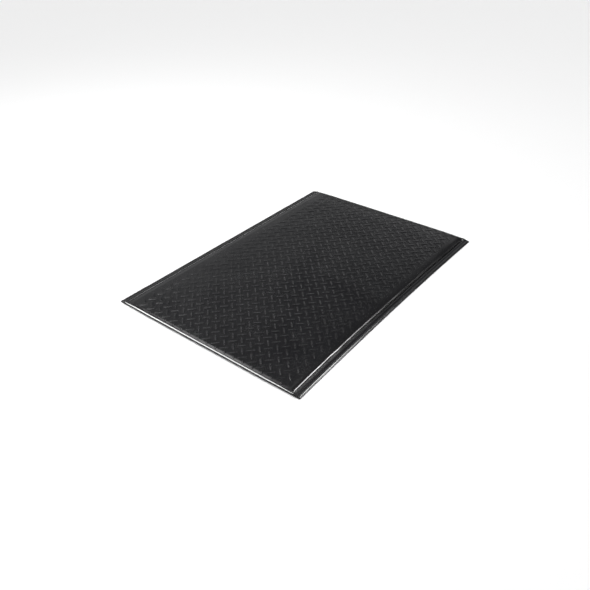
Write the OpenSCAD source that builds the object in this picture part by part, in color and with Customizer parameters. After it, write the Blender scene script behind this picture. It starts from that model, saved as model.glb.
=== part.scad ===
// Anti fatigue mat: foam laminated between a diamond tread vinyl sheet and a vinyl backing.
// The long sides are pressed down into a sealed flange with a bead, and the short ends are
// wrapped in a rounded band. X runs along the length, Y across the width and Z up, and the
// origin is the middle of the underside.

/* [Mat] */
// Length, end to end
mat_length = 914.4; // [600:0.1:1500]
// Width, flange edge to flange edge
mat_width = 609.6; // [400:0.1:900]
// Thickness, with the tread
mat_height = 12.7; // [11.7:0.1:16.7]
// Radius of the corners, seen from above
corner_radius = 4; // [2:0.5:8]

/* [Layers] */
// Thickness of every vinyl sheet
skin = 1.2; // [0.8:0.1:1.6]
// Share of the foam's depth that is the soft upper layer
soft_share = 0.55; // [0.3:0.05:0.7]

/* [Tread] */
// Height of a lug above the wear sheet
lug_height = 0.7; // [0.4:0.1:1.2]
// Length of a lug
lug_length = 23; // [18:0.5:26]
// Width of a lug
lug_width = 4.6; // [3:0.2:6]
// Spacing of the lugs of one direction along the mat
lug_pitch_x = 32.1; // [30:0.1:40]
// Spacing of the lugs of one direction across the mat
lug_pitch_y = 29.2; // [28:0.1:40]
// Smooth margin beside each long edge, up to the middle of the first lugs
tread_margin = 52; // [44:1:80]
// Shift of the tread along the mat, from where the roll was cut
tread_shift_x = 12.7; // [-16:0.1:16]
// Shift of the tread across the mat
tread_shift_y = -2.2; // [-14:0.1:14]

/* [Long edges] */
// Width of the pressed flange
flange_width = 20; // [14:0.5:20]
// Height of the bead above the flange
bead_rise = 1.8; // [1:0.1:2.4]
// Radius of the bead
bead_radius = 3.2; // [2.8:0.1:3.5]
// Distance from the flange edge to the middle of the bead
bead_inset = 5.5; // [5:0.1:6]
// Distance from the flange edge to the seam between shoulder and wear sheet
strip_width = 42; // [42:0.5:50]
// Radius of the shoulder above the flange
shoulder_radius = 11; // [8:0.5:11]

/* [Short ends] */
// Radius of the nose, at its top
nose_radius = 7; // [5:0.5:7]
// Radius of the nose, at the floor
toe_radius = 3.2; // [2.2:0.2:3.4]
// Distance that the end wrap is turned in under the mat
wrap_lap = 14; // [11:0.5:30]
// Angle round the nose at which the wear sheet gives way to the end wrap
nose_seam = 120; // [100:5:165]
// Length of a corner tuck along the mat
tuck_length = 10; // [9:0.5:16]

/* [Hidden] */

half_length = mat_length / 2;
half_width = mat_width / 2;
sheet_top = mat_height - lug_height;
foam_top = sheet_top - skin;
foam_split = foam_top - soft_share * (foam_top - skin);
flange_top = 2 * skin;
bead_middle = flange_top + bead_rise - bead_radius;
bead_foot = asin((bead_radius - bead_rise) / bead_radius);
shoulder_inset = strip_width - shoulder_radius;
wall_angle = 165;
arc_steps = 8;

lug_root = 0.5;

vinyl = [0.16, 0.16, 0.17];
gloss_vinyl = [0.10, 0.10, 0.11];
backing_vinyl = [0.13, 0.13, 0.13];
soft_foam = [0.33, 0.33, 0.35];
firm_foam = [0.24, 0.24, 0.26];

// Points along an arc, both ends included
function arc(x, y, radius, from, to) = [
    for (i = [0:arc_steps])
        let (a = from + (to - from) * i / arc_steps)
        [x + radius * cos(a), y + radius * sin(a)]
];

// Points in the opposite order
function reversed(points) = [for (i = [len(points) - 1:-1:0]) points[i]];

// Points flipped left to right within a width
function flipped(points, width) = [for (p = points) [width - p[0], p[1]]];

// Outline that runs along points, then back along their mirror image
function both_sides(points, width) = concat(points, reversed(flipped(points, width)));

// Sections of a long edge, measured inwards from the flange edge and up from the floor:
// the shoulder's outer and inner faces, from the foot of its wall to the seam
function shoulder_outside() = concat(
    [[flange_width, skin], [flange_width, flange_top]],
    arc(shoulder_inset, sheet_top - shoulder_radius, shoulder_radius, wall_angle, 90),
    [[strip_width, sheet_top]]
);
function shoulder_inside() = concat(
    [[flange_width + skin, skin]],
    arc(shoulder_inset, sheet_top - shoulder_radius, shoulder_radius - skin, wall_angle, 90),
    [[strip_width, foam_top]]
);

// Section of a short end, measured inwards from the end and up from the floor
function nose(radius, from, to) = arc(nose_radius, sheet_top - nose_radius, radius, from, to);
function toe(radius, from, to) = arc(toe_radius, toe_radius, radius, from, to);

// Places a section of the front edge, drawn in Y and Z, along the mat from x0 to x1
module along_edge(x0, x1) {
    translate([x0, -half_width, 0])
        rotate([90, 0, 90])
            linear_extrude(x1 - x0)
                children();
}

// Places a section of the left end, drawn in X and Z, across the mat from y0 to y1
module across_end(y0, y1) {
    translate([-half_length, y1, 0])
        rotate([90, 0, 0])
            linear_extrude(y1 - y0)
                children();
}

// Outline of the whole mat from above, with rounded corners
module plan_outline() {
    x = half_length - corner_radius;
    y = half_width - corner_radius;
    polygon(concat(
        arc(x, y, corner_radius, 0, 90),
        arc(-x, y, corner_radius, 90, 180),
        arc(-x, -y, corner_radius, 180, 270),
        arc(x, -y, corner_radius, 270, 360)
    ));
}

// One raised lug, pointed at both ends
module lug(angle) {
    point = lug_length / 2;
    flank = point - lug_width;
    half = lug_width / 2;
    rotate(angle)
        linear_extrude(lug_height + lug_root)
            polygon([[-point, 0], [-flank, -half], [flank, -half],
                     [point, 0], [flank, half], [-flank, half]]);
}

// Lugs of both directions, each set in its own lattice half a pitch from the other
module tread() {
    reach_x = half_length - nose_radius - lug_length / 2 * cos(45);
    reach_y = half_width - max(tread_margin, strip_width + 10);
    columns = ceil(mat_length / lug_pitch_x);
    rows = ceil(mat_width / lug_pitch_y);
    for (i = [-columns:columns], j = [-rows:rows]) {
        x = tread_shift_x + i * lug_pitch_x / 2;
        y = tread_shift_y + j * lug_pitch_y / 2;
        if ((i + j) % 2 == 0 && abs(x) < reach_x && abs(y) < reach_y)
            translate([x, y, sheet_top - lug_root])
                lug(i % 2 == 0 ? -45 : 45);
    }
}

module wear_sheet() {
    outside = both_sides(nose(nose_radius, nose_seam, 90), mat_length);
    inside = both_sides(nose(nose_radius - skin, nose_seam, 90), mat_length);
    color(vinyl) {
        across_end(strip_width - half_width, half_width - strip_width)
            polygon(concat(outside, reversed(inside)));
        tread();
    }
}

// One layer of the foam, which has sloping long sides, round ends and notched corners
module foam_layer(z0, z1) {
    end = concat(toe(toe_radius - skin, 270, 180), nose(nose_radius - skin, 180, 90));
    intersection() {
        along_edge(-half_length, half_length)
            polygon(both_sides(shoulder_inside(), mat_width));
        across_end(-half_width, half_width)
            polygon(both_sides(end, mat_length));
        translate([0, 0, z0])
            linear_extrude(z1 - z0)
                foam_plan();
    }
}

// The foam from above: the corner tucks fill the four corners
module foam_plan() {
    square([mat_length, mat_width - 2 * strip_width], center = true);
    square([mat_length - 2 * tuck_length, mat_width], center = true);
}

module comfort_foam() {
    color(soft_foam) foam_layer(foam_split, foam_top);
}

module support_foam() {
    color(firm_foam) foam_layer(skin, foam_split);
}

module backing_sheet() {
    color(backing_vinyl)
        linear_extrude(skin)
            difference() {
                plan_outline();
                for (side = [-1, 1])
                    translate([side * half_length, 0])
                        square([2 * wrap_lap, mat_width - 2 * strip_width], center = true);
            }
}

// The pressed flange: its rim is rounded, and its bead is part of a circle
module flange() {
    color(gloss_vinyl)
        intersection() {
            along_edge(-half_length, half_length)
                polygon(concat(
                    arc(skin, skin, skin, 180, 90),
                    arc(bead_inset, bead_middle, bead_radius, 180 - bead_foot, bead_foot),
                    [[flange_width, flange_top], [flange_width, skin]]
                ));
            linear_extrude(mat_height)
                plan_outline();
        }
}

module front_flange() {
    flange();
}

module back_flange() {
    mirror([0, 1, 0]) flange();
}

// The wall above the flange and the rounded shoulder at its top
module shoulder() {
    color(gloss_vinyl)
        along_edge(tuck_length - half_length, half_length - tuck_length)
            polygon(concat(shoulder_outside(), reversed(shoulder_inside())));
}

module front_shoulder() {
    shoulder();
}

module back_shoulder() {
    mirror([0, 1, 0]) shoulder();
}

module end_wrap() {
    color(gloss_vinyl)
        across_end(strip_width - half_width, half_width - strip_width)
            polygon(concat(
                nose(nose_radius, nose_seam, 180),
                toe(toe_radius, 180, 270),
                [[wrap_lap, 0], [wrap_lap, skin]],
                toe(toe_radius - skin, 270, 180),
                nose(nose_radius - skin, 180, nose_seam)
            ));
}

module left_end_wrap() {
    end_wrap();
}

module right_end_wrap() {
    mirror([1, 0, 0]) end_wrap();
}

// The vinyl of a corner, tucked down from the nose and the shoulder onto the flange
module corner_tuck() {
    color(gloss_vinyl)
        intersection() {
            along_edge(-half_length, tuck_length - half_length)
                polygon(concat(shoulder_outside(), [[strip_width, skin]]));
            across_end(-half_width, half_width)
                polygon(concat(
                    toe(toe_radius, 270, 180),
                    nose(nose_radius, 180, 90),
                    [[nose_radius + tuck_length, sheet_top], [nose_radius + tuck_length, 0]]
                ));
        }
}

module corner_tuck_front_left() {
    corner_tuck();
}

module corner_tuck_front_right() {
    mirror([1, 0, 0]) corner_tuck();
}

module corner_tuck_back_left() {
    mirror([0, 1, 0]) corner_tuck();
}

module corner_tuck_back_right() {
    mirror([0, 1, 0]) mirror([1, 0, 0]) corner_tuck();
}

wear_sheet();
comfort_foam();
support_foam();
backing_sheet();
front_flange();
back_flange();
front_shoulder();
back_shoulder();
left_end_wrap();
right_end_wrap();
corner_tuck_front_left();
corner_tuck_front_right();
corner_tuck_back_left();
corner_tuck_back_right();
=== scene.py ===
"""The looks of the anti fatigue mat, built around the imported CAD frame.

Every piece is made in the frame of the CAD: X runs along the mat, Y across it and Z up. Its
shape is drawn in millimetres, and scaled to metres once, when its mesh is made.
"""

import math

import bmesh
import bpy
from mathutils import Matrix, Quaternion, Vector, noise


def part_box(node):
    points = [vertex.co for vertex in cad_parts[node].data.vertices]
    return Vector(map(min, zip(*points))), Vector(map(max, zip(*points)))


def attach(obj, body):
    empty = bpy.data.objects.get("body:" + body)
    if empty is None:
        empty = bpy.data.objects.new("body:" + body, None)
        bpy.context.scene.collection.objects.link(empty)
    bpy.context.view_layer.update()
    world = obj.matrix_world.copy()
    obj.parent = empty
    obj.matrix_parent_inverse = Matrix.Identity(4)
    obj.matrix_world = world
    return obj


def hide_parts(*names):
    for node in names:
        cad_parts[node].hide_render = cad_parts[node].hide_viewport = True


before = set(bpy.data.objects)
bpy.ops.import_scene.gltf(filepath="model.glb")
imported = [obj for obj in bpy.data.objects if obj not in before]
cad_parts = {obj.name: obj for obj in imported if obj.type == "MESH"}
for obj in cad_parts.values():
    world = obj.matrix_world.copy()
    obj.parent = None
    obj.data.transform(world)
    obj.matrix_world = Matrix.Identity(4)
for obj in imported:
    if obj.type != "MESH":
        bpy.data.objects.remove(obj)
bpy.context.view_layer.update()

# ---------------------------------------------------------------- sizes, in millimetres
MM = 0.001


def node_box(name):
    """Lowest and highest corner of a CAD node, in millimetres."""
    low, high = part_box(name)
    return low / MM, high / MM


sheet_box = node_box("backing_sheet")
shoulder_box = node_box("front_shoulder")
tuck_box = node_box("corner_tuck_front_left")
HALF_LENGTH = sheet_box[1].x
HALF_WIDTH = sheet_box[1].y
# Thickness of the vinyl
SKIN = sheet_box[1].z
# How far in from the long edges the tread sheet starts
SEAM = HALF_WIDTH + shoulder_box[1].y
SHEET_TOP = shoulder_box[1].z
LUG_RISE = node_box("wear_sheet")[1].z - SHEET_TOP
# Height at which the soft foam lies on the firm foam
FOAM_SPLIT = node_box("support_foam")[1].z
# How far from the short ends the corner folds and the turned-in wraps reach
TUCK_LENGTH = tuck_box[1].x + HALF_LENGTH
WRAP_LAP = node_box("left_end_wrap")[1].x + HALF_LENGTH

# The round of a short end is a quarter of an ellipse, above a small round at the floor
NOSE_DEPTH = 10.0
TOE_RADIUS = 3.2
NOSE_HEIGHT = SHEET_TOP - TOE_RADIUS
NOSE_GIRTH = (NOSE_DEPTH + NOSE_HEIGHT) / 2
# How far the cushion has settled at its long edges and at its short ends
SIDE_SETTLE = 1.0
END_SETTLE = 1.2
# How far the front edge bows in at its middle
FRONT_BOW = 5.5
# How far the noses bulge out past the straight line between the corners
NOSE_BULGE = 1.1
# Angle from the nose's top at which the tread sheet ends and the end wrap starts
NOSE_SEAM = 30.0
# Round of the mat's four corners, seen from above
CORNER_RADIUS = 1.5
# Half the length of the flat part between the noses
FLAT_HALF = HALF_LENGTH - NOSE_DEPTH

# The tread's lattice, as in the CAD: a lug of one direction sits at every second crossing
LUG_HALF_LENGTH = 11.5
LUG_HALF_WIDTH = 2.4
HALF_PITCH_X = 16.05
HALF_PITCH_Y = 14.6
TREAD_SHIFT_X = 12.7
TREAD_SHIFT_Y = -2.2
# Width of the strip along each long edge in which no lug is centred
TREAD_MARGIN = 52.0
# How far from the sheet's ends the lugs fade away
LUG_FADE = 2.5


# ---------------------------------------------------------------- mesh helpers
def smooth_path(points, steps):
    """A Catmull-Rom curve through the points, with that many steps between each two."""
    path = []
    last = len(points) - 1
    for i in range(last):
        before = points[max(i - 1, 0)]
        start, end = points[i], points[i + 1]
        after = points[min(i + 2, last)]
        for k in range(steps):
            t = k / steps
            path.append(tuple(
                0.5 * (2 * b + (c - a) * t + (2 * a - 5 * b + 4 * c - d) * t * t
                       + (3 * b - a - 3 * c + d) * t ** 3)
                for a, b, c, d in zip(before, start, end, after)
            ))
    path.append(tuple(points[last]))
    return path


def arc(x, y, radius, start, end, steps=8):
    """Points along an arc, both ends included, with its angles in degrees."""
    angles = [math.radians(start + (end - start) * i / steps) for i in range(steps + 1)]
    return [(x + radius * math.cos(a), y + radius * math.sin(a)) for a in angles]


def ease(value, low, high):
    """0 below low, 1 above high, and a smooth step between them."""
    t = min(max((value - low) / (high - low), 0.0), 1.0)
    return t * t * (3 - 2 * t)


def spaced(start, end, step):
    """Even places from start to end, no further apart than step."""
    count = max(1, math.ceil((end - start) / step))
    return [start + (end - start) * i / count for i in range(count + 1)]


def drift(place, wavelength, seed):
    """Slow random wander from about -1 to 1 along a line."""
    return noise.noise(Vector((place / wavelength, seed * 7.31, 0.5))) * 1.6


def settled(x, y, z):
    """Where a point of the new, straight mat lies once it is used. The cushion has settled
    towards its edges, the noses bulge out a little, unevenly, and the front edge bows in
    towards its middle."""
    from_end = HALF_LENGTH - abs(x)
    from_side = HALF_WIDTH - abs(y)
    drop = END_SETTLE * (1 - ease(from_end, 0, 80)) + SIDE_SETTLE * (1 - ease(from_side, 24, 90))
    z -= drop * ease(z, SKIN, SHEET_TOP)
    end = math.copysign(1, x)
    bulge = NOSE_BULGE * ease(from_side, 25, 110) * (1 + 0.25 * drift(y, 110, 3 + end))
    x += end * bulge * (1 - ease(from_end, 0, 30))
    bow = FRONT_BOW * (1 - (x / HALF_LENGTH) ** 2)
    y += bow * (1 - ease(HALF_WIDTH + y, 0, 90))
    return x, y, z


def finish_mesh(name, mesh_data, material, sharp_angle=40):
    """Makes a piece from a bmesh in millimetres, which rides on the mat's one body."""
    for vert in mesh_data.verts:
        vert.co = settled(*vert.co)
    bmesh.ops.scale(mesh_data, vec=(MM, MM, MM), verts=mesh_data.verts)
    bmesh.ops.recalc_face_normals(mesh_data, faces=mesh_data.faces)
    mesh = bpy.data.meshes.new(name)
    mesh_data.to_mesh(mesh)
    mesh_data.free()
    mesh.shade_smooth()
    mesh.set_sharp_from_angle(angle=math.radians(sharp_angle))
    mesh.materials.append(material)
    piece = bpy.data.objects.new(name, mesh)
    bpy.context.scene.collection.objects.link(piece)
    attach(piece, "root")
    return piece


def loft(mesh_data, sections):
    """Joins closed sections of equal length with quads and closes both ends."""
    rings = [[mesh_data.verts.new(p) for p in section] for section in sections]
    for near, far in zip(rings, rings[1:]):
        for i in range(len(near)):
            k = (i + 1) % len(near)
            mesh_data.faces.new((near[i], near[k], far[k], far[i]))
    mesh_data.faces.new(rings[0])
    mesh_data.faces.new(reversed(rings[-1]))


# ---------------------------------------------------------------- materials
def coordinates(tree):
    """The object's own coordinates, which are the mat's, in metres."""
    return tree.nodes.new("ShaderNodeTexCoord").outputs["Object"]


def noise_texture(tree, scale, detail=3.0):
    """A noise texture's value output. Its scale is about the number of blobs per metre."""
    node = tree.nodes.new("ShaderNodeTexNoise")
    node.inputs["Scale"].default_value = scale
    node.inputs["Detail"].default_value = detail
    tree.links.new(coordinates(tree), node.inputs["Vector"])
    return node.outputs["Fac"]


def remap(tree, value, low, high, to_low, to_high):
    """Maps a value from one range to another, clamped."""
    node = tree.nodes.new("ShaderNodeMapRange")
    for socket, number in zip(("From Min", "From Max", "To Min", "To Max"),
                              (low, high, to_low, to_high)):
        node.inputs[socket].default_value = number
    tree.links.new(value, node.inputs["Value"])
    return node.outputs["Result"]


def combine(tree, operation, first, second):
    """A math node of two values, each a socket or a number."""
    node = tree.nodes.new("ShaderNodeMath")
    node.operation = operation
    for socket, value in zip(node.inputs, (first, second)):
        if isinstance(value, (int, float)):
            socket.default_value = value
        else:
            tree.links.new(value, socket)
    return node.outputs["Value"]


def blend_colours(tree, factor, first, second):
    """A colour between two, by a factor socket."""
    node = tree.nodes.new("ShaderNodeMix")
    node.data_type = "RGBA"
    tree.links.new(factor, node.inputs["Factor"])
    for socket, colour in (("A", first), ("B", second)):
        place = [s for s in node.inputs if s.name == socket and s.type == "RGBA"][0]
        if isinstance(colour, tuple):
            place.default_value = (*colour, 1.0)
        else:
            tree.links.new(colour, place)
    return [s for s in node.outputs if s.type == "RGBA"][0]


def bump(tree, height, distance, under=None):
    """A bump node on top of another bump. A height of 1 stands for distance, in metres."""
    node = tree.nodes.new("ShaderNodeBump")
    node.inputs["Distance"].default_value = distance
    node.inputs["Strength"].default_value = 1.0
    tree.links.new(height, node.inputs["Height"])
    if under is not None:
        tree.links.new(under, node.inputs["Normal"])
    return node.outputs["Normal"]


def empty_material(name):
    """A new material, its node tree and its shader."""
    material = bpy.data.materials.new(name)
    material.use_nodes = True
    shader = material.node_tree.nodes["Principled BSDF"]
    return material, material.node_tree, shader


def pebble_grain(tree, scale, depth, under=None):
    """The fine leather-like grain that is rolled into vinyl sheet, on top of another bump.
    Its scale is in pebbles per metre and its depth in metres."""
    cells = tree.nodes.new("ShaderNodeTexVoronoi")
    cells.feature = "DISTANCE_TO_EDGE"
    cells.inputs["Scale"].default_value = scale
    tree.links.new(coordinates(tree), cells.inputs["Vector"])
    pebbles = remap(tree, cells.outputs["Distance"], 0.0, 0.35, 0.0, 1.0)
    return bump(tree, pebbles, depth, under)


def vinyl(name, dark, light, roughness, spread, specular, grain_depth, swell_depth):
    """Black plasticised vinyl: mottled colour, uneven gloss, slow swells and a fine grain."""
    material, tree, shader = empty_material(name)
    mottle = noise_texture(tree, 9.0, detail=5.0)
    tint = remap(tree, mottle, 0.35, 0.65, 0.0, 1.0)
    tree.links.new(blend_colours(tree, tint, dark, light), shader.inputs["Base Color"])
    patches = remap(tree, noise_texture(tree, 14.0, detail=4.0), 0.3, 0.7, -spread, spread)
    specks = remap(tree, noise_texture(tree, 900.0, detail=2.0), 0.3, 0.7, -0.04, 0.04)
    gloss = combine(tree, "ADD", combine(tree, "ADD", patches, specks), roughness)
    tree.links.new(gloss, shader.inputs["Roughness"])
    shader.inputs["Specular IOR Level"].default_value = specular
    swell = bump(tree, noise_texture(tree, 22.0, detail=2.0), swell_depth)
    grained = pebble_grain(tree, 1100.0, grain_depth, swell)
    tree.links.new(grained, shader.inputs["Normal"])
    return material


def tread_vinyl():
    """Satin vinyl, with lugs polished and greyed by shoes, most of all along the middle."""
    material = vinyl("tread_vinyl", (0.009, 0.009, 0.010), (0.013, 0.013, 0.014),
                     roughness=0.22, spread=0.04, specular=0.42, grain_depth=0.00003,
                     swell_depth=0.0003)
    tree = material.node_tree
    shader = tree.nodes["Principled BSDF"]
    height = tree.nodes.new("ShaderNodeAttribute")
    height.attribute_name = "lug_height"
    crest = remap(tree, height.outputs["Fac"], 0.5, 1.0, 0.0, 1.0)
    scuffs = remap(tree, noise_texture(tree, 260.0, detail=4.0), 0.4, 0.62, 0.2, 1.0)
    place = tree.nodes.new("ShaderNodeSeparateXYZ")
    tree.links.new(coordinates(tree), place.inputs["Vector"])
    across = combine(tree, "ABSOLUTE", place.outputs["Y"], 0.0)
    trodden = remap(tree, across, 0.10, 0.24, 1.0, 0.2)
    worn = combine(tree, "MULTIPLY", combine(tree, "MULTIPLY", crest, scuffs), trodden)
    base = shader.inputs["Base Color"].links[0].from_socket
    tree.links.new(blend_colours(tree, worn, base, (0.042, 0.042, 0.043)),
                   shader.inputs["Base Color"])
    gloss = shader.inputs["Roughness"].links[0].from_socket
    polish = combine(tree, "MULTIPLY", worn, 0.12)
    tree.links.new(combine(tree, "SUBTRACT", gloss, polish), shader.inputs["Roughness"])
    return material


def edge_vinyl():
    """The same vinyl, smooth and glossy where heat and pressure sealed it."""
    return vinyl("edge_vinyl", (0.010, 0.010, 0.011), (0.014, 0.014, 0.015),
                 roughness=0.21, spread=0.03, specular=0.70, grain_depth=0.000003,
                 swell_depth=0.0001)


def backing_vinyl():
    """Dull vinyl with a coarse pebbled grain, which grips the floor."""
    material, tree, shader = empty_material("backing_vinyl")
    mottle = remap(tree, noise_texture(tree, 12.0, detail=5.0), 0.35, 0.65, 0.0, 1.0)
    tree.links.new(blend_colours(tree, mottle, (0.014, 0.014, 0.014), (0.022, 0.022, 0.022)),
                   shader.inputs["Base Color"])
    rough = remap(tree, noise_texture(tree, 30.0), 0.3, 0.7, 0.62, 0.75)
    tree.links.new(rough, shader.inputs["Roughness"])
    shader.inputs["Specular IOR Level"].default_value = 0.3
    grip = pebble_grain(tree, 520.0, 0.00012)
    tree.links.new(grip, shader.inputs["Normal"])
    return material


def foam(name, dark, light, cell_scale):
    """Vinyl sponge: matte, with open cells, and painted shade in their pores."""
    material, tree, shader = empty_material(name)
    cells = tree.nodes.new("ShaderNodeTexVoronoi")
    cells.inputs["Scale"].default_value = cell_scale
    tree.links.new(coordinates(tree), cells.inputs["Vector"])
    pore_depth_and_shade = remap(tree, cells.outputs["Distance"], 0.0, 0.6, 0.0, 1.0)
    # The pores are painted darker than the foam round them: painted shade in the dips that the
    # bump makes.
    tree.links.new(blend_colours(tree, pore_depth_and_shade, dark, light), shader.inputs["Base Color"])
    shader.inputs["Roughness"].default_value = 0.9
    tree.links.new(bump(tree, pore_depth_and_shade, 0.0002), shader.inputs["Normal"])
    return material


# ---------------------------------------------------------------- the tread sheet
COMPASS = ((1, 0), (1, 1), (0, 1), (-1, 1), (-1, 0), (-1, -1), (0, -1), (1, -1))
# How far the middles of a cell's sides give way or come in
CELL_BULGE = 3.0
# Parts between two neighbouring anchors of a cell's border
SEGMENTS = 3
# Rings of a lug, from its foot to its crest: growth from its outline, share of its height
LUG_RINGS = ((1.28, 0.0), (1.08, 0.07), (0.88, 0.42), (0.62, 0.78), (0.30, 0.97))


def cell_border(direction):
    """The border of the cell round a lug: a rhombus whose sides give way before the lug's
    ends and come in beside its flanks, so that cells of both directions fit together."""
    anchors = []
    for k in range(8):
        x, y = COMPASS[(k + direction) % 8]
        if k % 2:
            anchors.append(Vector((HALF_PITCH_X * x, HALF_PITCH_Y * y)))
        else:
            outward = CELL_BULGE if k % 4 == 0 else -CELL_BULGE
            middle = Vector((HALF_PITCH_X * x / 2, HALF_PITCH_Y * y / 2))
            anchors.append(middle + Vector((x, y)).normalized() * outward)
    return [
        anchors[k].lerp(anchors[(k + 1) % 8], i / SEGMENTS)
        for k in range(8)
        for i in range(SEGMENTS)
    ]


def lug_ring(growth, direction):
    """A lug's outline, grown or shrunk evenly on all sides, with as many points as a border."""
    along = LUG_HALF_LENGTH + (growth - 1) * LUG_HALF_WIDTH
    across = LUG_HALF_WIDTH * growth
    axis = Vector((1, direction)).normalized()
    side = Vector((-axis.y, axis.x))
    ring = []
    for i in range(8 * SEGMENTS):
        angle = math.tau * i / (8 * SEGMENTS)
        width = math.copysign(abs(math.sin(angle)) ** 0.8, math.sin(angle))
        ring.append(axis * along * math.cos(angle) + side * across * width)
    return ring


def band(mesh_data, outer, inner):
    """Quads between two rings of points."""
    for i in range(len(outer)):
        k = (i + 1) % len(outer)
        mesh_data.faces.new((outer[i], outer[k], inner[k], inner[i]))


def lug_cell(mesh_data, border, centre, direction):
    """The sheet round one lug and the lug itself, inside the cell's border."""
    outer = border
    for growth, share in LUG_RINGS:
        inner = [
            mesh_data.verts.new((centre.x + p.x, centre.y + p.y, share * LUG_RISE))
            for p in lug_ring(growth, direction)
        ]
        band(mesh_data, outer, inner)
        outer = inner
    half = len(outer) // 2
    mesh_data.faces.new((outer[0], outer[1], outer[-1]))
    mesh_data.faces.new((outer[half], outer[half + 1], outer[half - 1]))
    for i in range(1, half - 1):
        mesh_data.faces.new((outer[i], outer[i + 1], outer[-i - 1], outer[-i]))


def flat_tread(half_x, half_y):
    """The tread laid flat: cells in a lattice, cut to the sheet's outline."""
    mesh_data = bmesh.new()
    borders = {-1: cell_border(-1), 1: cell_border(1)}
    shared = {}

    def corner(point):
        key = (round(point.x * 50), round(point.y * 50))
        if key not in shared:
            shared[key] = mesh_data.verts.new((point.x, point.y, 0))
        return shared[key]

    columns = math.ceil(half_x / HALF_PITCH_X) + 2
    rows = math.ceil(half_y / HALF_PITCH_Y) + 2
    for i in range(-columns, columns + 1):
        for j in range(-rows, rows + 1):
            if (i + j) % 2:
                continue
            direction = 1 if i % 2 else -1
            centre = Vector((i * HALF_PITCH_X + TREAD_SHIFT_X, j * HALF_PITCH_Y + TREAD_SHIFT_Y))
            border = [corner(centre + p) for p in borders[direction]]
            if abs(centre.y) < HALF_WIDTH - TREAD_MARGIN:
                lug_cell(mesh_data, border, centre, direction)
            else:
                hub = mesh_data.verts.new((centre.x, centre.y, 0))
                for k in range(len(border)):
                    mesh_data.faces.new((border[k], border[(k + 1) % len(border)], hub))
    for normal, reach in (((1, 0, 0), half_x), ((0, 1, 0), half_y)):
        for sign in (-1, 1):
            cut(mesh_data, Vector(normal) * sign, reach, clear=True)
    return mesh_data


def cut(mesh_data, normal, reach, clear=False):
    """Cuts everything along a plane that far from the middle, and may clear what is past it."""
    bmesh.ops.bisect_plane(
        mesh_data,
        geom=mesh_data.verts[:] + mesh_data.edges[:] + mesh_data.faces[:],
        dist=0.0001,
        plane_co=normal * reach,
        plane_no=normal,
        clear_outer=clear,
    )


def dips(x, y):
    """Slow dips of the cushion's top."""
    inland = min(HALF_LENGTH - abs(x), HALF_WIDTH - abs(y) - SEAM)
    return 0.14 * ease(inland, 5, 60) * noise.noise(Vector((x / 95, y / 95, 4.2)))


def nose_point(angle, height):
    """Distance in from the end, and height, of a point over the nose: its angle is counted
    from the top in degrees, and its own height is measured off the nose's surface."""
    turn = math.radians(angle)
    normal = Vector((math.sin(turn) / NOSE_DEPTH, math.cos(turn) / NOSE_HEIGHT)).normalized()
    inset = NOSE_DEPTH * (1 - math.sin(turn)) - height * normal.x
    return inset, TOE_RADIUS + NOSE_HEIGHT * math.cos(turn) + height * normal.y


def wrap_over_nose(x, y, height):
    """Bends a point of the flat sheet over the noses at its ends."""
    past = abs(x) - FLAT_HALF
    if past <= 0:
        return x, y, SHEET_TOP + height + dips(x, y)
    inset, z = nose_point(math.degrees(past / NOSE_GIRTH), height)
    return math.copysign(HALF_LENGTH - inset, x), y, z + dips(x, y)


def tread_cover(material):
    """The embossed top sheet: lugs, smooth margins, and ends that turn over the noses."""
    half_x = FLAT_HALF + NOSE_GIRTH * math.radians(NOSE_SEAM)
    mesh_data = flat_tread(half_x, HALF_WIDTH - SEAM)
    lug_height = mesh_data.verts.layers.float.new("lug_height")
    for vert in mesh_data.verts:
        vert.co.z *= ease(half_x - abs(vert.co.x), 0, LUG_FADE)
        vert[lug_height] = vert.co.z / LUG_RISE
    rim = [e for e in mesh_data.edges if e.is_boundary]
    grown = bmesh.ops.extrude_edge_only(mesh_data, edges=rim)["geom"]
    for vert in (g for g in grown if isinstance(g, bmesh.types.BMVert)):
        vert.co.z = -SKIN
    bottom_rim = [e for e in mesh_data.edges if e.is_boundary]
    bmesh.ops.holes_fill(mesh_data, edges=bottom_rim, sides=0)
    bends = [FLAT_HALF - step for step in (60, 45, 30, 15)]
    bends += [FLAT_HALF + NOSE_GIRTH * math.radians(angle) for angle in (0, 10, 20)]
    for reach in bends:
        for sign in (-1, 1):
            cut(mesh_data, Vector((sign, 0, 0)), reach)
    for vert in mesh_data.verts:
        vert.co = wrap_over_nose(*vert.co)
    cover = finish_mesh("tread_cover", mesh_data, material, sharp_angle=60)
    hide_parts("wear_sheet")


# ---------------------------------------------------------------- the long edges
FLANGE_WIDTH = 20.0
FLANGE_TOP = 2.4
# A soft dent in the front shoulder: how far it is from the left end, how wide and how deep
DENT_PLACE = 150.0
DENT_WIDTH = 22.0
DENT_DEPTH = 1.3
# The top of a long edge, from its rim over the bead and a low hump into the groove at the
# flange's inner side, then up the wall and over the soft shoulder
EDGE_PATH = smooth_path([
    (0.0, SKIN), (0.15, 1.75), (0.9, 2.3), (2.2, 2.55), (3.4, 3.5), (5.0, 4.0), (6.6, 3.6),
    (8.2, 3.2), (10.5, 3.4), (13.0, 3.75), (15.0, 3.9), (17.0, 3.3), (18.6, 2.5),
    (FLANGE_WIDTH, 2.4), (20.4, 3.8), (21.0, 5.4), (22.4, 7.6), (24.4, 9.1), (27.2, 10.3),
    (30.2, 11.1), (33.4, 11.6), (38.0, 11.9), (SEAM, SHEET_TOP),
], 4)


def edge_height(inset):
    """Height of a long edge's top at that distance in from its rim."""
    for (a, low), (b, high) in zip(EDGE_PATH, EDGE_PATH[1:]):
        if a <= inset <= b and b > a:
            return low + (high - low) * (inset - a) / (b - a)
    return SHEET_TOP


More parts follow.
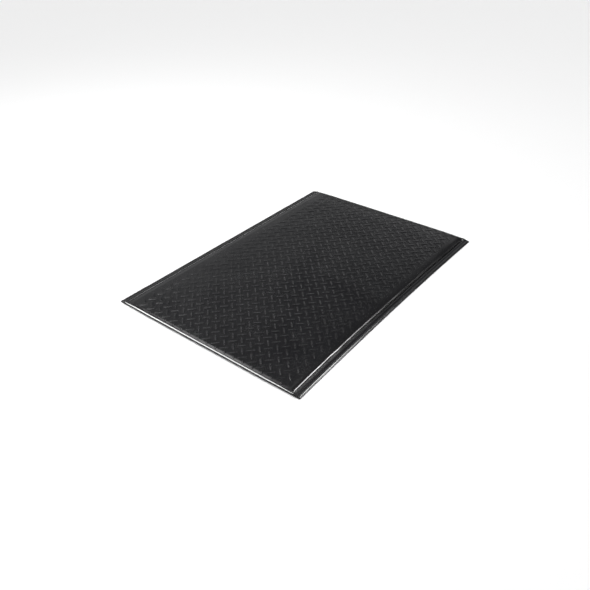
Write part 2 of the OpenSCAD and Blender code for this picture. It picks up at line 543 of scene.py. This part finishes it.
def edge_place(x, inset, z, side):
    """A point of a long edge, with its rim and its shoulder wavering along the mat.
    The front shoulder also has a soft dent, where the mat was bent once."""
    from_end = HALF_LENGTH - abs(x)
    calm = ease(from_end, TUCK_LENGTH, TUCK_LENGTH + 40)
    rim = 0.35 * (1 + drift(x, 80, 11 * side)) * (1 - ease(inset, 0, 9))
    bell = ease(inset, 14, FLANGE_WIDTH) * (1 - ease(inset, 28, SEAM))
    waver = 0.7 * drift(x, 130, 5 * side) + 0.25 * drift(x, 37, 9 * side)
    if side < 0:
        off_dent = (x + HALF_LENGTH - DENT_PLACE) / DENT_WIDTH
        waver += DENT_DEPTH * math.exp(-(off_dent ** 2))
    inset = inset + rim + bell * calm * waver
    corner = max(CORNER_RADIUS - from_end, 0)
    cut_in = CORNER_RADIUS - math.sqrt(max(CORNER_RADIUS ** 2 - corner ** 2, 0))
    inset = cut_in + inset * (1 - cut_in / SEAM)
    return x, side * (HALF_WIDTH - inset), z


def end_steps(start, fine):
    """Places along the mat from one end to the other, close together near both ends."""
    left = [start - HALF_LENGTH + f for f in fine]
    middle = spaced(left[-1], -left[-1], 7)
    return left[:-1] + middle + [-x for x in reversed(left[:-1])]


def flange(name, node, side, material):
    """The pressed flange with its bead, which dies away at the very corners."""
    top = [p for p in EDGE_PATH if p[0] <= FLANGE_WIDTH]
    section = top + [(FLANGE_WIDTH, SKIN)]
    sections = []
    for x in end_steps(0, (0, 0.3, 0.8, 1.5, 2.4, 4, 6, 9, 13, 18)):
        bead = 0.25 + 0.75 * ease(HALF_LENGTH - abs(x), -0.5, 5)
        sections.append([
            edge_place(x, d, FLANGE_TOP + (z - FLANGE_TOP) * bead if z > FLANGE_TOP else z, side)
            for d, z in section
        ])
    mesh_data = bmesh.new()
    loft(mesh_data, sections)
    piece = finish_mesh(name, mesh_data, material)
    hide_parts(node)


def shoulder(name, node, side, material):
    """The wall above the flange and the soft shoulder at its top."""
    top = [p for p in EDGE_PATH if p[0] >= FLANGE_WIDTH]
    inside = [(inset + 0.6, height - SKIN) for inset, height in reversed(top[6:-1:3])]
    section = top + [(SEAM, SHEET_TOP - SKIN)] + inside + [
        (FLANGE_WIDTH + SKIN, SKIN),
        (FLANGE_WIDTH, SKIN),
    ]
    sections = [
        [edge_place(x, d, z, side) for d, z in section]
        for x in end_steps(TUCK_LENGTH, (0, 2, 5, 9))
    ]
    mesh_data = bmesh.new()
    loft(mesh_data, sections)
    piece = finish_mesh(name, mesh_data, material)
    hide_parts(node)


# ---------------------------------------------------------------- the short ends
def end_wrap(name, node, end, material):
    """The glossy band round a short end, turned in under the mat."""
    angles = spaced(NOSE_SEAM, 90, 6)
    section = (
        [nose_point(angle, 0) for angle in angles]
        + arc(TOE_RADIUS, TOE_RADIUS, TOE_RADIUS, 180, 270)
        + [(WRAP_LAP, 0), (WRAP_LAP, SKIN)]
        + arc(TOE_RADIUS, TOE_RADIUS, TOE_RADIUS - SKIN, 270, 180)
        + [nose_point(angle, -SKIN) for angle in reversed(angles)]
    )
    reach = HALF_WIDTH - SEAM
    sections = [
        [(end * (HALF_LENGTH - e), y, z) for e, z in section]
        for y in spaced(-reach, reach, 6)
    ]
    mesh_data = bmesh.new()
    loft(mesh_data, sections)
    piece = finish_mesh(name, mesh_data, material)
    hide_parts(node)


# Sections of a corner fold, from the nose out to the tip of the flange. Each has its distance
# in from the long edge, then its points (in from the end, up): the foot, two points of the
# mouth under the lip, the lip, its top, and the valley behind it.
FOLD_KEYS = (
    (42.0, (0.70, 1.2), (0.00, 3.0), (0.20, 5.0), (1.34, 7.6), (4.0, 10.3), (7.4, 11.7)),
    (36.0, (0.70, 1.2), (0.00, 3.0), (0.15, 4.9), (1.25, 7.4), (3.9, 10.1), (7.3, 11.4)),
    (30.0, (0.70, 1.2), (0.00, 2.8), (0.20, 4.6), (1.15, 7.0), (3.6, 9.5), (7.1, 10.4)),
    (25.0, (0.70, 1.2), (0.00, 2.6), (0.70, 4.3), (0.80, 6.6), (2.9, 9.0), (6.7, 8.6)),
    (21.5, (0.70, 1.2), (0.10, 2.4), (1.60, 4.0), (0.50, 6.2), (2.3, 8.7), (6.0, 6.2)),
    (18.5, (0.70, 1.2), (0.20, 2.1), (2.60, 3.7), (0.30, 5.8), (1.8, 8.2), (5.2, 4.6)),
    (16.0, (0.70, 1.2), (0.20, 1.9), (3.20, 3.3), (0.30, 5.2), (1.6, 7.2), (4.6, 3.6)),
    (13.5, (0.70, 1.2), (0.20, 1.7), (2.80, 2.8), (0.30, 4.4), (1.5, 6.2), (4.2, 3.2)),
    (11.0, (0.60, 1.6), (0.20, 1.9), (1.80, 2.6), (0.30, 3.8), (1.4, 5.2), (3.6, 2.6)),
    (8.50, (0.60, 1.9), (0.30, 2.2), (1.20, 2.6), (0.40, 3.4), (1.4, 4.4), (3.0, 2.9)),
    (6.00, (0.90, 2.2), (0.70, 2.5), (1.00, 2.8), (0.80, 3.3), (1.5, 3.8), (2.6, 3.2)),
)


def corner_fold(name, node, end, side, material):
    """The vinyl of a corner: the nose runs down into a lip that ends at the flange's tip, with
    an open mouth below it and a valley between it and the shoulder's end."""
    tip_reach = 3.4
    foot_height = 1.2
    foot_rise = 0.9
    keys = [(inset, *(value for point in points for value in point))
            for inset, *points in FOLD_KEYS]
    sections = []
    for inset, *flat in smooth_path(keys, 4):
        points = list(zip(flat[0::2], flat[1::2]))
        full = ease(inset, 9.0, 12.5)
        back = tip_reach + (TUCK_LENGTH - tip_reach) * full
        back_height = max(edge_height(inset), FLANGE_TOP - 0.1)
        foot = (back, foot_height + (1 - full) * foot_rise)
        outline = smooth_path(points + [(back, back_height)], 4) + [foot]
        y = side * (HALF_WIDTH - inset)
        sections.append([(end * (HALF_LENGTH - e), y, z) for e, z in outline])
    mesh_data = bmesh.new()
    loft(mesh_data, sections)
    piece = finish_mesh(name, mesh_data, material, sharp_angle=55)
    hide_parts(node)


# ---------------------------------------------------------------- foam and backing
def foam_outline(half_x, half_y):
    """A layer of foam from above, notched for the corner folds. Every layer has as many
    points along its sides, whatever its size."""
    clearance = 0.3
    half_count = 15
    notch_x = HALF_LENGTH - TUCK_LENGTH - clearance
    notch_y = HALF_WIDTH - SEAM - clearance
    half = [(notch_x, -notch_y), (half_x, -notch_y), (half_x, notch_y), (notch_x, notch_y)]
    half += [(notch_x * (1 - i / half_count), half_y) for i in range(2 * half_count + 1)]
    return half + [(-x, -y) for x, y in half]


def foam_pad(name, node, bottom, top, material):
    """One layer of foam, which follows the slope of the walls and the round of the noses."""
    layer_gap = 0.25
    end_gap = 1.2
    wall_gap = 1.0
    sections = []
    for z in spaced(bottom + layer_gap, top - layer_gap, 0.7):
        above = max(z - TOE_RADIUS, 0) / (NOSE_HEIGHT - SKIN)
        nose = SKIN + (NOSE_DEPTH - SKIN) * (1 - math.sqrt(1 - min(above, 1) ** 2))
        wall = next(d for d, height in EDGE_PATH if d > FLANGE_WIDTH and height - SKIN > z)
        half_x = HALF_LENGTH - nose - end_gap
        half_y = HALF_WIDTH - wall - wall_gap
        sections.append([(x, y, z) for x, y in foam_outline(half_x, half_y)])
    mesh_data = bmesh.new()
    loft(mesh_data, sections)
    piece = finish_mesh(name, mesh_data, material)
    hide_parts(node)


def backing(material):
    """The underside sheet, notched for the end wraps, with low ribs that grip the floor."""
    rib_depth = 0.35
    rib_pitch = 6.0
    rib_shape = [(-1.5, rib_depth + 0.1), (-1.0, 0.0), (1.0, 0.0), (1.5, rib_depth + 0.1)]
    notch = HALF_WIDTH - SEAM
    inner = HALF_LENGTH - WRAP_LAP
    quarter = arc(HALF_LENGTH - CORNER_RADIUS, HALF_WIDTH - CORNER_RADIUS, CORNER_RADIUS, 0, 90)
    right = [(inner, notch), (HALF_LENGTH, notch)] + quarter
    side = [(-x, HALF_WIDTH) for x in spaced(-inner, inner, 30)]
    top_half = right + side + [(-x, y) for x, y in reversed(right)]
    outline = top_half + [(-x, -y) for x, y in top_half]
    mesh_data = bmesh.new()
    loft(mesh_data, [[(x, y, z) for x, y in outline] for z in (rib_depth, SKIN)])
    rib_end = inner - 2
    count = math.floor(notch / rib_pitch)
    for i in range(-count, count + 1):
        loft(mesh_data, [
            [(x, i * rib_pitch + y, z) for y, z in rib_shape]
            for x in (-rib_end, rib_end)
        ])
    piece = finish_mesh("grip_backing", mesh_data, material)
    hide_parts("backing_sheet")


# ---------------------------------------------------------------- the stage
def stage_piece(name, mesh_data, material):
    """A part of the stage, which is not part of the mat."""
    mesh = bpy.data.meshes.new(name)
    mesh_data.to_mesh(mesh)
    mesh_data.free()
    mesh.materials.append(material)
    piece = bpy.data.objects.new(name, mesh)
    bpy.context.scene.collection.objects.link(piece)
    return piece


def floor():
    """A plain white floor, far larger than the mat."""
    half_size = 30
    mesh_data = bmesh.new()
    bmesh.ops.create_grid(mesh_data, x_segments=2, y_segments=2, size=half_size)
    material, _, shader = empty_material("floor")
    shader.inputs["Base Color"].default_value = (0.9, 0.9, 0.9, 1)
    shader.inputs["Roughness"].default_value = 0.9
    shader.inputs["Specular IOR Level"].default_value = 0.0
    stage_piece("floor", mesh_data, material)


def backdrop():
    """A plain white wall far round the mat, which gives no light and isn't mirrored."""
    radius = 9
    height = 16
    mesh_data = bmesh.new()
    bmesh.ops.create_cone(mesh_data, cap_ends=False, segments=96, radius1=radius,
                          radius2=radius, depth=height)
    material, _, shader = empty_material("backdrop")
    shader.inputs["Base Color"].default_value = (0, 0, 0, 1)
    shader.inputs["Specular IOR Level"].default_value = 0.0
    shader.inputs["Emission Color"].default_value = (1, 1, 1, 1)
    shader.inputs["Emission Strength"].default_value = 1.0
    wall = stage_piece("backdrop", mesh_data, material)
    wall.visible_diffuse = False
    wall.visible_glossy = False
    wall.visible_shadow = False


def around(azimuth, elevation):
    """Unit vector towards a direction: azimuth 0 is -Y and 90 is +X, as for the views."""
    a, e = math.radians(azimuth), math.radians(elevation)
    return Vector((math.sin(a) * math.cos(e), -math.cos(a) * math.cos(e), math.sin(e)))


def camera():
    """The camera at the photograph's viewing angle."""
    towards = around(azimuth=-51.34, elevation=34.32)
    target = Vector((-0.1767, 0.0056, 0))
    distance = 1.6883
    data = bpy.data.cameras.new("camera")
    data.lens = 36.95
    data.shift_x = 0.0429
    camera_object = bpy.data.objects.new("camera", data)
    camera_object.location = target + towards * distance
    camera_object.rotation_mode = "QUATERNION"
    camera_object.rotation_quaternion = (-towards).to_track_quat("-Z", "Y")
    bpy.context.scene.collection.objects.link(camera_object)
    bpy.context.scene.camera = camera_object


def softbox(name, place, width, height, radiance, roll=0, lights_floor=True):
    """An even rectangular light that faces the middle of the mat, rolled by some degrees.
    With lights_floor off, it is only mirrored in the vinyl and lights nothing else."""
    watts_per_radiance = 4
    data = bpy.data.lights.new(name, "AREA")
    data.shape = "RECTANGLE"
    data.size = width
    data.size_y = height
    data.energy = radiance * watts_per_radiance * width * height
    light = bpy.data.objects.new(name, data)
    light.location = place
    light.visible_camera = False
    light.visible_diffuse = lights_floor
    light.rotation_mode = "QUATERNION"
    aimed = Vector(place).to_track_quat("Z", "Y")
    light.rotation_quaternion = aimed @ Quaternion((0, 0, 1), math.radians(roll))
    bpy.context.scene.collection.objects.link(light)


def key_light():
    """A wide, soft key light from high behind the mat, which the vinyl does not mirror."""
    data = bpy.data.lights.new("key", "SUN")
    data.energy = 3.6
    data.angle = math.radians(35)
    light = bpy.data.objects.new("key", data)
    light.visible_glossy = False
    light.rotation_mode = "QUATERNION"
    light.rotation_quaternion = around(azimuth=128, elevation=50).to_track_quat("Z", "Y")
    bpy.context.scene.collection.objects.link(light)


def room():
    """A dim room with a pale band behind the mat and a pale patch low past its right end.
    Both are drawn by how far behind or beside the mat a direction points, per unit of rise."""
    world = bpy.data.worlds.new("room")
    bpy.context.scene.world = world
    world.use_nodes = True
    tree = world.node_tree
    direction = tree.nodes.new("ShaderNodeSeparateXYZ")
    tree.links.new(tree.nodes.new("ShaderNodeTexCoord").outputs["Generated"],
                   direction.inputs["Vector"])
    up = combine(tree, "MAXIMUM", direction.outputs["Z"], 0.02)
    behind = combine(tree, "DIVIDE", direction.outputs["Y"], up)
    beside = combine(tree, "DIVIDE", direction.outputs["X"], up)
    band_foot = remap(tree, behind, 1.8, 2.5, 1.0, 0.2)
    band_top = remap(tree, behind, 0.98, 1.45, 0.02, 0.62)
    band = combine(tree, "MULTIPLY", band_top, band_foot)
    patch_front = remap(tree, behind, 0.35, 0.75, 0.05, 1.0)
    patch_back = remap(tree, behind, 0.9, 1.25, 1.0, 0.0)
    patch_sides = combine(tree, "MULTIPLY", patch_front, patch_back)
    patch_top = remap(tree, beside, 1.65, 2.4, 0.0, 0.9)
    patch = combine(tree, "MULTIPLY", patch_top, patch_sides)
    strength = combine(tree, "ADD", band, patch)
    tree.links.new(strength, tree.nodes["Background"].inputs["Strength"])
    tree.nodes["Background"].inputs["Color"].default_value = (1, 1, 1, 1)


def lights():
    """Softboxes round the mat, a soft key light and a dim room."""
    softbox("left_softbox", (-1.85, 1.0, 0.64), width=1.5, height=0.85, radiance=17.0,
            lights_floor=False)
    softbox("top_softbox", (-0.35, 1.1, 1.75), width=1.4, height=0.7, radiance=4.2)
    softbox("fill_softbox", (0.4, 0.5, 2.3), width=1.6, height=1.0, radiance=0.4)
    softbox("right_softbox", (2.15, -2.35, 2.3), width=0.85, height=1.7, radiance=18.0,
            roll=-34, lights_floor=False)
    key_light()
    room()


# ---------------------------------------------------------------- everything
tread = tread_vinyl()
edge = edge_vinyl()

tread_cover(tread)
for side, word in ((-1, "front"), (1, "back")):
    flange(f"{word}_bead_flange", f"{word}_flange", side, edge)
    shoulder(f"{word}_shoulder_roll", f"{word}_shoulder", side, edge)
for end, word in ((-1, "left"), (1, "right")):
    end_wrap(f"{word}_nose_wrap", f"{word}_end_wrap", end, edge)
for side, row in ((-1, "front"), (1, "back")):
    for end, column in ((-1, "left"), (1, "right")):
        corner_fold(f"{row}_{column}_corner_fold", f"corner_tuck_{row}_{column}", end, side, edge)
foam_pad("soft_foam_pad", "comfort_foam", FOAM_SPLIT, SHEET_TOP - SKIN,
         foam("soft_foam", (0.030, 0.030, 0.032), (0.075, 0.075, 0.080), 900))
foam_pad("firm_foam_pad", "support_foam", SKIN, FOAM_SPLIT,
         foam("firm_foam", (0.018, 0.018, 0.020), (0.045, 0.045, 0.048), 1500))
backing(backing_vinyl())

floor()
backdrop()
camera()
lights()
bpy.context.scene.view_settings.view_transform = "Standard"
